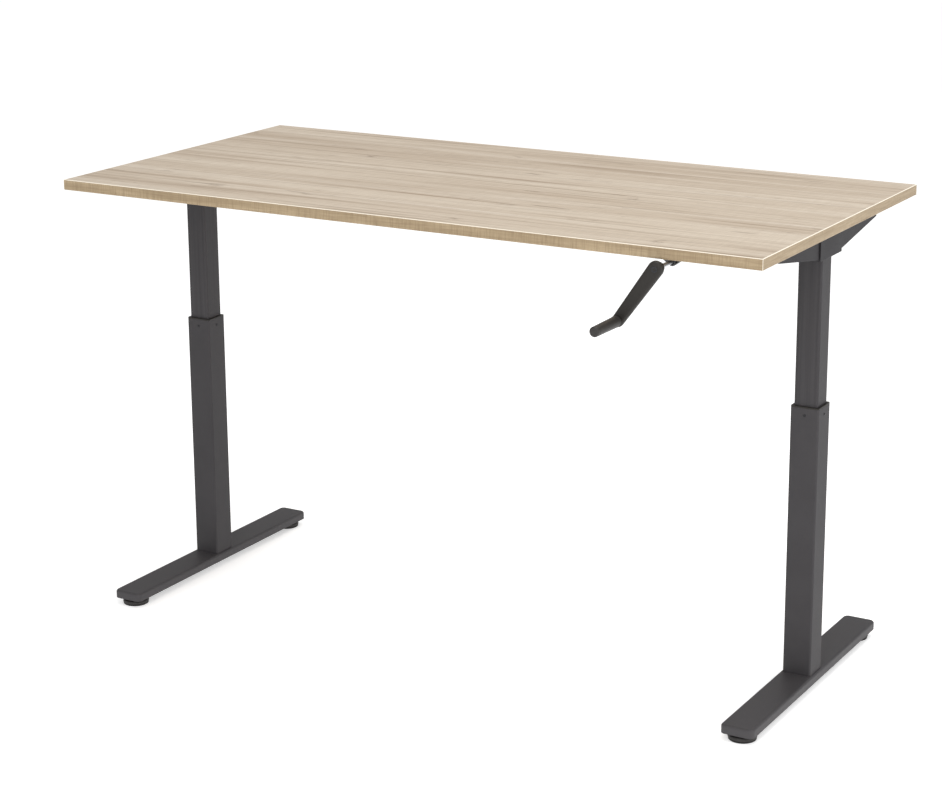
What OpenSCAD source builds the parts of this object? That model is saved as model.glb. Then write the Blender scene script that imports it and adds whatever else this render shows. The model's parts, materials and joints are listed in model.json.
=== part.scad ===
// Height adjustable desk with a hand crank: two T-shaped legs, each a lower tube with an upper tube
// sliding in it, a bevel-geared drive under the desktop, and one screw spindle in each leg.
// Millimetres, +Z up, z = 0 on the floor. X runs along the desk's width, -Y is the user's side.
// The origin is the middle of the desk's outline on the floor, with the crank counted in.

/* [Desktop] */
// Width of the desktop
top_w = 1600; // [1300:10:2000]
// Depth of the desktop
top_d = 800; // [700:10:1000]
// Thickness of the desktop
top_t = 22; // [20:0.5:30]
// Thickness of the plastic edge band
band_t = 2; // [2:0.5:3]
// Rounding on the edge band's long edges
band_r = 1.5; // [0.5:0.25:1.75]

/* [Height] */
// Height of the desktop's upper face as the desk stands
desk_h = 977; // [690:1:1090]

/* [Legs] */
// Distance of a column's middle from the desktop's end
leg_inset = 60; // [45:1:200]
// Side of the square lower tube
lower_side = 60; // [52:1:75]
// Sheet thickness of both square tubes
tube_wall = 2; // [1.5:0.25:3]
// Play filled by the plastic guides between the two tubes
guide_gap = 3; // [2:0.25:4]
// Length of the lower tube
lower_len = 562; // [480:1:600]
// Length of the upper tube
upper_len = 562; // [480:1:600]
// Outer corner radius of the square tubes
tube_r = 4; // [3:0.5:6]
// Height of the guide parts that run between the tubes
guide_h = 30; // [20:1:50]
// Thickness of the collar's rim on top of the lower tube
rim_t = 3; // [2:0.5:6]

/* [Feet] */
// Length of a foot bar
foot_len = 660; // [560:10:780]
// How far a foot bar stands out on each side of the lower tube
foot_margin = 5; // [3:0.5:20]
// Thickness of a foot bar
foot_t = 18; // [16:0.5:30]
// Radius of the foot bar's corners, seen from above
foot_corner = 12; // [8:1:30]
// Rounding of the foot bar's upper edges
foot_edge = 5; // [1:0.5:5.5]
// Sheet thickness of the foot bar
foot_skin = 3; // [2:0.5:4]
// Height of the foot bar above the floor
foot_gap = 16; // [14:1:30]
// Diameter of a levelling glide
glide_d = 58; // [40:1:60]
// Distance of a glide's middle from the end of the foot
glide_inset = 32.5; // [30:0.5:80]
// How far a levelling glide screws out
glide_travel = 12; // [5:1:14]

/* [Support arms] */
// Length of a support arm
arm_len = 500; // [400:10:640]
// How far a support arm stands out on each side of the upper tube
arm_margin = 5; // [4.5:0.5:12]
// Depth of a support arm at the column
arm_mid_h = 52; // [48:1:75]
// Depth of a support arm at its ends
arm_tip_h = 20; // [12:1:30]
// Sheet thickness of a support arm
arm_skin = 2.5; // [2:0.5:4]
// Length of the saddle that wraps the arm at the column
saddle_len = 110; // [90:1:130]
// Sheet thickness of the saddle
saddle_skin = 3; // [2:0.5:5]

/* [Cross rails] */
// Distance of a cross rail's middle from the columns, front to back
rail_y = 80; // [74:1:90]
// Width of a cross rail
rail_w = 30; // [20:1:36]
// Height of a cross rail
rail_h = 20; // [16:1:20]

/* [Crank] */
// Distance of the crank's axis from the desktop's right end
crank_inset = 205; // [130:1:400]
// Depth of the drive axes under the desktop
axis_drop = 16; // [16:0.5:20]
// Length of the crank arm between its two axes
crank_len = 131; // [110:0.5:170]
// Angle of the crank arm from hanging straight down
crank_angle = 35.5; // [0:0.5:90]
// Radius of the crank arm's hub end
hub_r = 15.2; // [14:0.1:18]
// Radius of the crank arm's grip end
elbow_r = 12; // [10:0.1:14]
// Thickness of the crank arm
crank_t = 14; // [12:0.5:18]
// Gap between the desktop's front edge and the crank arm
crank_front = 5; // [3:0.5:12]
// Length of the turning grip, without its end cap
grip_len = 82; // [70:1:120]
// Radius of the grip beside the crank arm
grip_r = 11.25; // [11:0.25:15]
// Radius of the grip at its free end
grip_end_r = 10; // [9:0.25:13]
// Length of the grip's rounded end cap
grip_cap_len = 8.5; // [6:0.5:10]

/* [Drive] */
// Radius of the crank rod and the cross shaft
rod_r = 4; // [3:0.25:5]
// Radius of a spindle over its thread
spindle_r = 6; // [5:0.25:7]
// Outer radius of the bevel gears
gear_r = 14; // [12:0.5:17]
// Radius of the small end of the bevel gears
gear_tip_r = 6; // [5:0.5:7]
// Outer radius of the nut's post
post_r = 14; // [12:0.5:16]

/* [Fits] */
// Radial play of a shaft turning in its hole
run_gap = 0.05; // [0.02:0.01:0.1]
// Play of a sliding guide on each side
slide_gap = 0.35; // [0.3:0.05:0.6]
// Gap of the grip's end face from the crank arm
face_gap = 0.5; // [0.3:0.1:1]

/* [Hidden] */
$fn = 64;
eps = 0.01;

// Paints
steel_grey = "#4c4b50";
black_plastic = "#29282b";
oak = "#cdbb9f";
oak_edge = "#bfa581";
bare_steel = "#b9bcc0";
nut_plastic = "#d8d4c6";
rubber = "#1b1b1c";

// Bevel gears and the bearing under them
mesh_gap = 0.5;
gear_clear = 2.5;
bearing_r = 13;
bearing_h = 8;
seat_t = 2;

// Levels
under_z = desk_h - top_t;
axis_z = under_z - axis_drop;
arm_z = under_z - arm_mid_h;
saddle_z = arm_z - saddle_skin;
foot_z = foot_gap + foot_t;
lower_top = foot_z + lower_len;
gear_back_z = axis_z - gear_r - mesh_gap;
gearbox_floor = gear_back_z - gear_clear - bearing_h - seat_t;
upper_z = gearbox_floor - upper_len;

// Plan positions, counted from the columns' line
leg_x = top_w / 2 - leg_inset;
crank_x = top_w / 2 - crank_inset;
arm_face = -top_d / 2 - crank_front;
crank_front_y = arm_face - crank_t;
grip_start = crank_front_y - face_gap;
grip_tip = grip_start - grip_len - grip_cap_len;
desk_y = -(grip_tip + top_d / 2) / 2;
glide_y = foot_len / 2 - glide_inset;

// Tubes and guides
lower_in = lower_side - 2 * tube_wall;
upper_side = lower_in - 2 * guide_gap;
arm_w = upper_side + 2 * arm_margin;
foot_w = lower_side + 2 * foot_margin;
gearbox_side = upper_side;
plate_t = 6;
screw_r = 3;
screw_head_r = 6;
screw_head_t = 4;
plate_hole = 18;
collar_screw_r = 1.5;
collar_screw_head_r = 2.8;
collar_screw_head_t = 1;
collar_screw_drop = 15;
collar_screw_z = lower_top - collar_screw_drop;

// Nut, post and spindle
post_wall = 4;
post_in = post_r - post_wall;
post_drop = 21;
post_top = lower_top - post_drop;
nut_h = 24;
spindle_dip = 135;
spindle_z = post_top - spindle_dip;
journal_r = 4;
gear_h = gear_r - gear_tip_r;
gear_teeth = 12;
tooth_gap_r = 1.2;
housing_skin = 3;
shaft_hole_r = rod_r + 2;

// Crank gearbox, bracket and desktop screws
ear_len = 14;
ear_t = 4;
housing_drop = 2;
housing_top = under_z - housing_drop;
middle_clear = 5.5;
middle_floor = gear_back_z - middle_clear;
bracket_set = 70;
bracket_y = arm_face + bracket_set;
bracket_t = 20;
bracket_half = 33;
bracket_r = rod_r + 5;
bracket_hole = 26;
bracket_flange = 3;
nose_steps = 16;
top_screw_r = 2;
top_screw_head_r = 4.2;
top_screw_head_t = 2.4;
top_screw_bite = 14;
arm_flange_t = 3;
arm_flange_len = 50;
arm_screw_x = 20;
arm_screw_inset = 20;
bolt_r = 3.5;
bolt_head_r = 6;
bolt_head_t = 4;
rail_end = 12;
rail_skin = 2;
rail_clear = 5;
rail_z = axis_z - rod_r - rail_clear - rail_h;

// Crank
hub_screw_r = 2;
hub_screw_head_r = 4.5;
hub_screw_head_t = 3;
hub_screw_len = 16;
rod_past = 1.5;
boss_r = 11;
boss_len = 8;
pin_r = 4;
pin_flange_r = 6.5;
pin_flange_t = 2;
pin_short = 8;
plug_len = 4;
elbow_x = crank_x - crank_len * sin(crank_angle);
elbow_z = axis_z - crank_len * cos(crank_angle);

// Glides
glide_r = glide_d / 2;
sole_t = 4;
glide_body_t = 7;
glide_neck_r = 8;
glide_stud_r = 4;
glide_boss_r = 9;
glide_rest_gap = 0.5;

// ---------------------------------------------------------------- shared shapes

// Puts a piece at the desk's place in the frame; children are laid out from the columns' line
module on_desk() {
    translate([0, desk_y, 0]) children();
}

// A flat rectangle with round corners, centred
module round_rect(w, d, r) {
    square([w - 2 * r, d], center = true);
    square([w, d - 2 * r], center = true);
    for (x = [-1, 1], y = [-1, 1])
        translate([x * (w / 2 - r), y * (d / 2 - r)]) circle(r);
}

// A block with round corners standing on z = 0
module round_block(w, d, h, r) {
    linear_extrude(h) round_rect(w, d, r);
}

// A w by h rectangle standing on the x axis with its two upper corners rounded by e
module arch(w, h, e) {
    translate([-w / 2, 0]) square([w, h - e]);
    translate([e - w / 2, 0]) square([w - 2 * e, h]);
    for (x = [-1, 1]) translate([x * (w / 2 - e), h - e]) circle(e);
}

// A w by d block, h high, with corners of radius r and its upper edges rounded by e: two crossing bars
// and four corner discs
module soft_block(w, d, h, r, e) {
    rotate([90, 0, 0]) linear_extrude(d - 2 * r, center = true) arch(w, h, e);
    rotate([90, 0, 90]) linear_extrude(w - 2 * r, center = true) arch(d, h, e);
    for (x = [-1, 1], y = [-1, 1])
        translate([x * (w / 2 - r), y * (d / 2 - r), 0]) rotate_extrude() intersection() {
            arch(2 * r, h, e);
            square([r, h]);
        }
}

// A square tube standing on z = 0
module square_tube(side, wall, len, r) {
    difference() {
        round_block(side, side, len, r);
        translate([0, 0, -1]) round_block(side - 2 * wall, side - 2 * wall, len + 2, r - wall);
    }
}

// A rod along +Y from y = a to y = b
module y_rod(r, a, b) {
    translate([0, b, 0]) rotate([90, 0, 0]) cylinder(r = r, h = b - a);
}

// A rod along +X from x = a to x = b
module x_rod(r, a, b) {
    translate([a, 0, 0]) rotate([0, 90, 0]) cylinder(r = r, h = b - a);
}

// A bevel gear on the z axis with its pitch cone's point at the origin and its body below it
module bevel_gear(bore_r) {
    difference() {
        translate([0, 0, -gear_r - mesh_gap]) cylinder(r1 = gear_r, r2 = gear_tip_r, h = gear_h);
        translate([0, 0, -gear_r - mesh_gap - 1]) cylinder(r = bore_r, h = gear_h + 2);
        for (i = [0 : gear_teeth - 1])
            rotate([0, 0, i * 360 / gear_teeth]) translate([0, 0, -mesh_gap]) rotate([0, 135, 0])
                cylinder(r = tooth_gap_r, h = 2 * gear_r);
    }
}

// Where the two columns stand
module at_leg(side) {
    on_desk() translate([side * leg_x, 0, 0]) children();
}

// ---------------------------------------------------------------- feet and lower columns

module foot_bar(side) {
    color(steel_grey) at_leg(side) difference() {
        union() {
            translate([0, 0, foot_gap]) difference() {
                soft_block(foot_w, foot_len, foot_t, foot_corner, foot_edge);
                translate([0, 0, -1]) round_block(foot_w - 2 * foot_skin, foot_len - 2 * foot_skin,
                    foot_t - foot_skin + 1, foot_corner - foot_skin);
            }
            for (y = [-1, 1])
                translate([0, y * glide_y, foot_gap]) cylinder(r = glide_boss_r, h = foot_t - foot_skin);
        }
        for (y = [-1, 1])
            translate([0, y * glide_y, foot_gap - 1])
                cylinder(r = glide_stud_r + run_gap, h = foot_t - foot_skin + 1);
        for (x = [-1, 1], y = [-1, 1])
            translate([x * plate_hole, y * plate_hole, foot_gap]) cylinder(r = screw_r, h = foot_t + 1);
    }
}

module lower_tube(side) {
    color(steel_grey) at_leg(side) difference() {
        translate([0, 0, foot_z]) square_tube(lower_side, tube_wall, lower_len, tube_r);
        for (a = [0 : 90 : 270])
            translate([0, 0, collar_screw_z]) rotate([0, 0, a])
                x_rod(collar_screw_r, lower_in / 2 - 1, lower_side / 2 + 1);
    }
}

module base_plate(side) {
    color(bare_steel) at_leg(side) difference() {
        translate([0, 0, foot_z]) round_block(lower_in, lower_in, plate_t, tube_r - tube_wall);
        for (x = [-1, 1], y = [-1, 1])
            translate([x * plate_hole, y * plate_hole, foot_z - 1]) cylinder(r = screw_r, h = plate_t + 2);
    }
}

module foot_screw() {
    cylinder(r = screw_r, h = plate_t + foot_skin);
    translate([0, 0, -screw_head_t]) cylinder(r = screw_head_r, h = screw_head_t);
}

module foot_screws() {
    color(bare_steel) for (side = [-1, 1]) at_leg(side)
        for (x = [-1, 1], y = [-1, 1])
            translate([x * plate_hole, y * plate_hole, foot_z - foot_skin]) foot_screw();
}

module guide_collar(side) {
    sleeve_in = upper_side + 2 * slide_gap;
    color(black_plastic) at_leg(side) difference() {
        union() {
            translate([0, 0, lower_top - guide_h])
                round_block(lower_in, lower_in, guide_h, tube_r - tube_wall);
            translate([0, 0, lower_top]) round_block(lower_side, lower_side, rim_t, tube_r);
        }
        translate([0, 0, lower_top - guide_h - 1])
            round_block(sleeve_in, sleeve_in, guide_h + rim_t + 2, tube_r - tube_wall);
        for (a = [0 : 90 : 270])
            translate([0, 0, collar_screw_z]) rotate([0, 0, a])
                x_rod(collar_screw_r, sleeve_in / 2 + 0.5, lower_side / 2);
    }
}

module collar_screw() {
    inner = upper_side / 2 + slide_gap + 0.5;
    x_rod(collar_screw_r, inner, lower_side / 2);
    x_rod(collar_screw_head_r, lower_side / 2, lower_side / 2 + collar_screw_head_t);
}

module collar_screws() {
    color(bare_steel) for (side = [-1, 1]) at_leg(side)
        for (a = [0 : 90 : 270])
            translate([0, 0, collar_screw_z]) rotate([0, 0, a]) collar_screw();
}

module nut_post(side) {
    low = foot_z + plate_t;
    color(bare_steel) at_leg(side) difference() {
        translate([0, 0, low]) cylinder(r = post_r, h = post_top - low);
        translate([0, 0, low - 1]) cylinder(r = post_in, h = post_top - low + 2);
    }
}

module spindle_nut(side) {
    color(nut_plastic) at_leg(side) difference() {
        union() {
            translate([0, 0, post_top]) cylinder(r = post_r, h = nut_h / 2);
            translate([0, 0, post_top - nut_h / 2]) cylinder(r = post_in, h = nut_h / 2 + 1);
        }
        translate([0, 0, post_top - nut_h]) cylinder(r = spindle_r + run_gap, h = 2 * nut_h);
    }
}

// ---------------------------------------------------------------- desktop

// Each screw under the desktop: its place from the columns' line and the sheet it passes through
ear_y = (gearbox_side + ear_len) / 2;
TOP_SCREWS = concat(
    [for (side = [-1, 1], x = [-1, 1], y = [-1, 1])
        [side * leg_x + x * arm_screw_x, y * (arm_len / 2 - arm_screw_inset), arm_flange_t]],
    [for (y = [-1, 1]) [crank_x, y * ear_y, ear_t]],
    [for (x = [-1, 1]) [crank_x + x * bracket_hole, bracket_y, bracket_flange]]
);

module desktop_board() {
    color(oak) on_desk() difference() {
        translate([0, 0, under_z + top_t / 2])
            cube([top_w - 2 * band_t, top_d - 2 * band_t, top_t], center = true);
        for (s = TOP_SCREWS)
            translate([s[0], s[1], under_z - 1]) cylinder(r = top_screw_r, h = top_screw_bite + 1);
    }
}

// A strip of edge band along +X with its outer face at y = 0 and its back at y = band_t
module edge_strip(len) {
    rotate([90, 0, 90]) linear_extrude(len, center = true) intersection() {
        translate([band_t, top_t / 2]) round_rect(2 * band_t, top_t, band_r);
        square([band_t, top_t]);
    }
}

module edge_band(turn, reach, len) {
    color(oak_edge) on_desk() rotate([0, 0, turn]) translate([0, -reach, under_z]) edge_strip(len);
}

// ---------------------------------------------------------------- upper columns and support arms

module upper_tube(side) {
    color(steel_grey) at_leg(side) translate([0, 0, upper_z])
        square_tube(upper_side, tube_wall, upper_len, tube_r);
}

module guide_shoe(side) {
    shoe_out = lower_in - 2 * slide_gap;
    color(black_plastic) at_leg(side) translate([0, 0, upper_z]) difference() {
        round_block(shoe_out, shoe_out, guide_h, tube_r - tube_wall);
        translate([0, 0, -1]) round_block(upper_side, upper_side, guide_h + 2, tube_r);
    }
}

module saddle(side) {
    out_w = arm_w + 2 * saddle_skin;
    color(steel_grey) at_leg(side) difference() {
        translate([0, 0, (saddle_z + housing_top) / 2])
            cube([out_w, saddle_len, housing_top - saddle_z], center = true);
        translate([0, 0, arm_z + arm_mid_h]) cube([arm_w, saddle_len + 2, 2 * arm_mid_h], center = true);
        translate([0, 0, saddle_z - 1]) round_block(upper_side, upper_side, saddle_skin + 2, tube_r);
        translate([0, 0, axis_z]) x_rod(shaft_hole_r, min(0, -side * out_w), max(0, -side * out_w));
    }
}

// The support arm's side view, pulled in by the sheet thickness s on its lower faces
function arm_outline(s) = [
    [-arm_len / 2 + s, 0],
    [-arm_len / 2 + s, -arm_tip_h + s],
    [-saddle_len / 2, -arm_mid_h + s],
    [saddle_len / 2, -arm_mid_h + s],
    [arm_len / 2 - s, -arm_tip_h + s],
    [arm_len / 2 - s, 0],
];

module arm_body(w, s) {
    rotate([90, 0, 90]) linear_extrude(w, center = true) polygon(arm_outline(s));
}

module support_arm(side) {
    color(steel_grey) at_leg(side) difference() {
        union() {
            difference() {
                translate([0, 0, under_z]) arm_body(arm_w, 0);
                translate([0, 0, under_z + eps]) arm_body(arm_w - 2 * arm_skin, arm_skin);
            }
            for (y = [-1, 1])
                translate([0, y * (arm_len - arm_flange_len) / 2, under_z - arm_flange_t / 2])
                    cube([arm_w, arm_flange_len, arm_flange_t], center = true);
        }
        translate([0, 0, arm_z - 1]) round_block(upper_side, upper_side, arm_mid_h / 2, tube_r);
        for (x = [-1, 1], y = [-1, 1])
            translate([x * arm_screw_x, y * (arm_len / 2 - arm_screw_inset), under_z - arm_flange_t - 1])
                cylinder(r = top_screw_r, h = arm_flange_t + 2);
        translate([0, 0, axis_z]) x_rod(shaft_hole_r, min(0, -side * arm_w), max(0, -side * arm_w));
        for (y = [-1, 1])
            translate([0, y * rail_y, rail_z + rail_h / 2])
                x_rod(bolt_r, min(0, -side * arm_w), max(0, -side * arm_w));
    }
}

// ---------------------------------------------------------------- cross rails

module cross_rail(y) {
    len = 2 * leg_x - arm_w;
    color(steel_grey) on_desk() translate([0, y * rail_y, rail_z + rail_h / 2]) difference() {
        cube([len, rail_w, rail_h], center = true);
        cube([len - 2 * rail_end, rail_w - 2 * rail_skin, rail_h - 2 * rail_skin], center = true);
        for (x = [-1, 1])
            translate([x * (len - rail_end) / 2, 0, 0]) x_rod(bolt_r, -rail_end, rail_end);
    }
}

module rail_bolt() {
    x_rod(bolt_r, -rail_end, arm_skin);
    x_rod(bolt_head_r, arm_skin, arm_skin + bolt_head_t);
}

module rail_bolts() {
    color(bare_steel) on_desk() for (side = [-1, 1], y = [-1, 1])
        translate([side * (leg_x - arm_w / 2), y * rail_y, rail_z + rail_h / 2])
            rotate([0, 0, side > 0 ? 0 : 180]) rail_bolt();
}

// ---------------------------------------------------------------- gearboxes and bearings

// An open-topped box with round holes for a shaft along X
module gearbox_box(low) {
    inner = gearbox_side - 2 * housing_skin;
    difference() {
        translate([0, 0, low]) round_block(gearbox_side, gearbox_side, housing_top - low, housing_skin);
        translate([0, 0, low + housing_skin + 1])
            linear_extrude(housing_top - low) square(inner, center = true);
        translate([0, 0, axis_z]) x_rod(rod_r + run_gap, -gearbox_side, gearbox_side);
    }
}

module gearbox_housing(side) {
    color(nut_plastic) at_leg(side) difference() {
        gearbox_box(gearbox_floor);
        translate([0, 0, gearbox_floor - 1]) cylinder(r = spindle_r + 1, h = housing_skin + 3);
        translate([0, 0, gearbox_floor + seat_t]) cylinder(r = bearing_r, h = bearing_h);
    }
}

module spindle_bearing(side) {
    color(bare_steel) at_leg(side) translate([0, 0, gearbox_floor + seat_t]) difference() {
        cylinder(r = bearing_r, h = bearing_h);
        translate([0, 0, -1]) cylinder(r = journal_r + run_gap, h = bearing_h + 2);
    }
}

module crank_gearbox_housing() {
    color(black_plastic) on_desk() translate([crank_x, 0, 0]) difference() {
        union() {
            gearbox_box(middle_floor);
            for (y = [-1, 1])
                translate([0, y * ear_y, under_z - ear_t / 2])
                    cube([ear_len, ear_len + eps, ear_t], center = true);
        }
        translate([0, 0, axis_z]) y_rod(rod_r + run_gap, -gearbox_side, 0);
        for (y = [-1, 1])
            translate([0, y * ear_y, under_z - ear_t - 1])
                cylinder(r = top_screw_r, h = ear_t + 2);
    }
}

// The bearing bracket's front view: a wide foot under the desktop running down to a round nose
module bracket_outline() {
    reach = sqrt(bracket_half * bracket_half + axis_drop * axis_drop);
    lean = atan2(axis_drop, bracket_half) - acos(bracket_r / reach);
    nose = [for (i = [0 : nose_steps]) lean - i * (180 + 2 * lean) / nose_steps];
    polygon(concat(
        [[-bracket_half, 0], [bracket_half, 0]],
        [for (a = nose) [bracket_r * cos(a), bracket_r * sin(a) - axis_drop]]
    ));
}

module crank_bracket() {
    color(black_plastic) on_desk() translate([crank_x, bracket_y, under_z]) difference() {
        rotate([90, 0, 0]) linear_extrude(bracket_t, center = true) bracket_outline();
        translate([0, 0, -axis_drop]) y_rod(rod_r + run_gap, -bracket_t, bracket_t);
        for (x = [-1, 1])
            translate([x * bracket_hole, 0, -bracket_flange - axis_drop]) {
                cylinder(r = top_screw_r, h = bracket_flange + axis_drop + 1);
                cylinder(r = top_screw_head_r, h = axis_drop);
            }
    }
}

// ---------------------------------------------------------------- desktop screws

module top_screw(skin) {
    translate([0, 0, under_z - skin]) cylinder(r = top_screw_r, h = skin + top_screw_bite - 1);
    translate([0, 0, under_z - skin - top_screw_head_t]) cylinder(r = top_screw_head_r, h = top_screw_head_t);
}

module desktop_screws() {
    color(bare_steel) on_desk() for (s = TOP_SCREWS) translate([s[0], s[1], 0]) top_screw(s[2]);
}

// ---------------------------------------------------------------- crank

// Puts a piece on the crank's axis
module on_crank() {
    on_desk() translate([crank_x, 0, axis_z]) children();
}

module crank_rod() {
    color(bare_steel) on_crank() difference() {
        y_rod(rod_r, crank_front_y + hub_screw_head_t, -rod_r - rod_past);
        y_rod(hub_screw_r, crank_front_y, crank_front_y + hub_screw_head_t + hub_screw_len);
    }
}

// The crank arm's front view, hanging down from the origin: two round ends and their tangents
module crank_outline() {
    lean = asin((hub_r - elbow_r) / crank_len);
    hub = [hub_r * cos(lean), hub_r * sin(lean)];
    elbow = [elbow_r * cos(lean), -crank_len + elbow_r * sin(lean)];
    circle(hub_r);
    translate([0, -crank_len]) circle(elbow_r);
    polygon([hub, elbow, [-elbow[0], elbow[1]], [-hub[0], hub[1]]]);
}

module crank_arm() {
    color(black_plastic) on_crank() difference() {
        union() {
            translate([0, arm_face, 0]) rotate([90, 0, 0]) rotate([0, 0, -crank_angle])
                linear_extrude(crank_t) crank_outline();
            y_rod(boss_r, arm_face - 1, arm_face + boss_len);
        }
        y_rod(rod_r, crank_front_y + hub_screw_head_t, arm_face + boss_len + 1);
        y_rod(hub_screw_head_r, crank_front_y - 1, crank_front_y + hub_screw_head_t);
        translate([elbow_x - crank_x, 0, elbow_z - axis_z]) {
            y_rod(pin_r, crank_front_y - 1, arm_face + 1);
            y_rod(pin_flange_r, arm_face - pin_flange_t, arm_face + 1);
        }
    }
}

module crank_hub_screw() {
    color(bare_steel) on_crank() {
        y_rod(hub_screw_head_r, crank_front_y, crank_front_y + hub_screw_head_t);
        y_rod(hub_screw_r, crank_front_y, crank_front_y + hub_screw_head_t + hub_screw_len);
    }
}

module crank_gear() {
    color(nut_plastic) on_crank() rotate([-90, 0, 0]) bevel_gear(rod_r);
}

module grip_pin() {
    color(bare_steel) on_desk() translate([elbow_x, 0, elbow_z]) {
        y_rod(pin_r, grip_start - grip_len + pin_short, arm_face);
        y_rod(pin_flange_r, arm_face - pin_flange_t, arm_face);
    }
}

module grip_sleeve() {
    color(black_plastic) on_desk() translate([elbow_x, grip_start, elbow_z]) rotate([90, 0, 0]) difference() {
        cylinder(r1 = grip_r, r2 = grip_end_r, h = grip_len);
        translate([0, 0, -1]) cylinder(r = pin_r + run_gap, h = grip_len - pin_short + 2);
        translate([0, 0, grip_len - plug_len]) cylinder(r = pin_r, h = plug_len + 1);
    }
}

module grip_end_cap() {
    dome_r = grip_cap_len - 1;
    color(black_plastic) on_desk() translate([elbow_x, grip_start - grip_len, elbow_z])
        rotate([90, 0, 0]) {
            translate([0, 0, -plug_len]) cylinder(r = pin_r, h = plug_len + 1);
            cylinder(r = grip_end_r, h = grip_cap_len - dome_r);
            translate([0, 0, grip_cap_len - dome_r]) cylinder(r = grip_end_r - dome_r, h = dome_r);
            rotate_extrude() intersection() {
                translate([grip_end_r - dome_r, grip_cap_len - dome_r]) circle(dome_r);
                square([grip_end_r + 1, grip_cap_len + 1]);
            }
        }
}

// ---------------------------------------------------------------- cross shaft and spindles

module cross_shaft() {
    reach = leg_x + gearbox_side / 2 - 1;
    color(bare_steel) on_desk() translate([0, 0, axis_z]) x_rod(rod_r, -reach, reach);
}

// A gear fixed on the cross shaft, facing +X with its pitch cone's point at x
module shaft_gear(x) {
    color(nut_plastic) on_desk() translate([x, 0, axis_z]) rotate([0, 90, 0]) bevel_gear(rod_r);
}

module spindle(side) {
    top = axis_z - gear_tip_r - mesh_gap;
    shoulder = gearbox_floor + 1;
    color(bare_steel) at_leg(side) {
        translate([0, 0, spindle_z]) cylinder(r = spindle_r, h = shoulder - spindle_z);
        translate([0, 0, shoulder - 1]) cylinder(r = journal_r, h = top - shoulder + 1);
    }
}

module spindle_gear(side) {
    color(nut_plastic) at_leg(side) translate([0, 0, axis_z]) bevel_gear(journal_r);
}

// ---------------------------------------------------------------- levelling glides

module at_glide(side, y) {
    at_leg(side) translate([0, y * glide_y, 0]) children();
}

module glide(side, y) {
    stud_top = foot_z - foot_skin - 1;
    neck_top = foot_gap - glide_rest_gap;
    color(black_plastic) at_glide(side, y) {
        translate([0, 0, sole_t]) cylinder(r1 = glide_r, r2 = glide_r - 2, h = glide_body_t);
        translate([0, 0, sole_t]) cylinder(r = glide_neck_r, h = neck_top - sole_t);
        translate([0, 0, sole_t]) cylinder(r = glide_stud_r, h = stud_top - sole_t);
    }
}

module sole(side, y) {
    color(rubber) at_glide(side, y) cylinder(r = glide_r - 1, h = sole_t);
}

// ---------------------------------------------------------------- the nodes

foot_bar(-1);  // left_foot_bar
foot_bar(1);  // right_foot_bar
lower_tube(-1);  // left_lower_tube
lower_tube(1);  // right_lower_tube
base_plate(-1);  // left_base_plate
base_plate(1);  // right_base_plate
foot_screws();
guide_collar(-1);  // left_guide_collar
guide_collar(1);  // right_guide_collar
collar_screws();
nut_post(-1);  // left_nut_post
nut_post(1);  // right_nut_post
spindle_nut(-1);  // left_spindle_nut
spindle_nut(1);  // right_spindle_nut
desktop_board();
edge_band(0, top_d / 2, top_w);  // front_edge_band
edge_band(180, top_d / 2, top_w);  // back_edge_band
edge_band(-90, top_w / 2, top_d - 2 * band_t);  // left_edge_band
edge_band(90, top_w / 2, top_d - 2 * band_t);  // right_edge_band
upper_tube(-1);  // left_upper_tube
upper_tube(1);  // right_upper_tube
guide_shoe(-1);  // left_guide_shoe
guide_shoe(1);  // right_guide_shoe
saddle(-1);  // left_saddle
saddle(1);  // right_saddle
support_arm(-1);  // left_support_arm
support_arm(1);  // right_support_arm
gearbox_housing(-1);  // left_gearbox_housing
gearbox_housing(1);  // right_gearbox_housing
spindle_bearing(-1);  // left_spindle_bearing
spindle_bearing(1);  // right_spindle_bearing
cross_rail(-1);  // front_cross_rail
cross_rail(1);  // back_cross_rail
rail_bolts();
crank_gearbox_housing();
crank_bracket();
desktop_screws();
crank_rod();
crank_arm();
crank_hub_screw();
crank_gear();
grip_pin();
grip_sleeve();
grip_end_cap();
cross_shaft();
shaft_gear(crank_x);  // middle_shaft_gear
shaft_gear(-leg_x);  // left_shaft_gear
shaft_gear(leg_x);  // right_shaft_gear
spindle(-1);  // left_spindle
spindle(1);  // right_spindle
spindle_gear(-1);  // left_spindle_gear
spindle_gear(1);  // right_spindle_gear
glide(-1, -1);  // front_left_glide
glide(-1, 1);  // back_left_glide
glide(1, -1);  // front_right_glide
glide(1, 1);  // back_right_glide
sole(-1, -1);  // front_left_sole
sole(-1, 1);  // back_left_sole
sole(1, -1);  // front_right_sole
sole(1, 1);  // back_right_sole
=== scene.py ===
# %% [markdown]
# # A crank-raised desk, finished in Blender
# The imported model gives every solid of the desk: tubes, sheet-metal arms, gears, screws and the oak-look
# top. This lesson keeps those solids as a fixed frame and gives them what a solid model leaves out:
# softened folds, threads, teeth, screw recesses and real finishes. It starts by loading the frame and
# keeping its outer box, because nothing made later may grow past it.

# %% Load the fixed frame
import json
import math

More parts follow.
